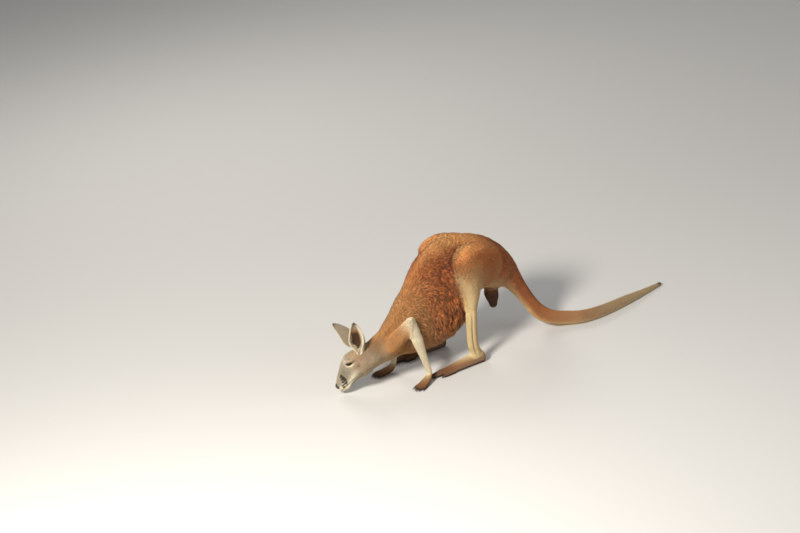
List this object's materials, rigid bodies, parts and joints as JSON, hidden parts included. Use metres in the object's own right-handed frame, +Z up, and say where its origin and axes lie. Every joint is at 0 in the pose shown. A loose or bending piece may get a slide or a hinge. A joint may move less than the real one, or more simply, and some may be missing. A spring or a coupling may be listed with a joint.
{
  "type": "kangaroo figure",
  "caption": "Life-size adult male red kangaroo as a still model, bent down on its forepaws to drink, with its long tail laid along the floor.",
  "frame": {"origin": "on the floor, under the middle of the bounding box", "axes": "+Z up; -X the way the animal faces; +X along the tail; +Y to the animal's right"},
  "size_m": [1.6132, 0.4074, 0.5438],
  "materials": {
    "red_coat": "short dense rusty coat",
    "grey_coat": "short grey coat",
    "cream_coat": "very short cream coat",
    "fawn_coat": "short fawn coat",
    "nose_skin": "bare moist black skin",
    "claw_horn": "smooth dark horn",
    "eye": "polished dark eye"
  },
  "bodies": {
    "root": {"ear_left": "grey_coat", "ear_right": "grey_coat", "eye_left": "eye", "eye_right": "eye", "foot_claw_left_1": "claw_horn", "foot_claw_left_2": "claw_horn", "foot_claw_left_3": "claw_horn", "foot_claw_left_4": "claw_horn", "foot_claw_right_1": "claw_horn", "foot_claw_right_2": "claw_horn", "foot_claw_right_3": "claw_horn", "foot_claw_right_4": "claw_horn", "foot_left": "fawn_coat", "foot_right": "fawn_coat", "forearm_left": "cream_coat", "forearm_right": "cream_coat", "hand_claw_left_1": "claw_horn", "hand_claw_left_2": "claw_horn", "hand_claw_left_3": "claw_horn", "hand_claw_left_4": "claw_horn", "hand_claw_left_5": "claw_horn", "hand_claw_right_1": "claw_horn", "hand_claw_right_2": "claw_horn", "hand_claw_right_3": "claw_horn", "hand_claw_right_4": "claw_horn", "hand_claw_right_5": "claw_horn", "hand_left": "fawn_coat", "hand_right": "fawn_coat", "head": "grey_coat", "neck": "grey_coat", "nose": "nose_skin", "scrotum": "grey_coat", "shank_left": "cream_coat", "shank_right": "cream_coat", "tail_base": "red_coat", "tail_middle": "fawn_coat", "tail_tip": "cream_coat", "thigh_left": "red_coat", "thigh_right": "red_coat", "trunk_front": "red_coat", "trunk_rear": "red_coat", "upper_arm_left": "fawn_coat", "upper_arm_right": "fawn_coat"}
  },
  "joints": []
}
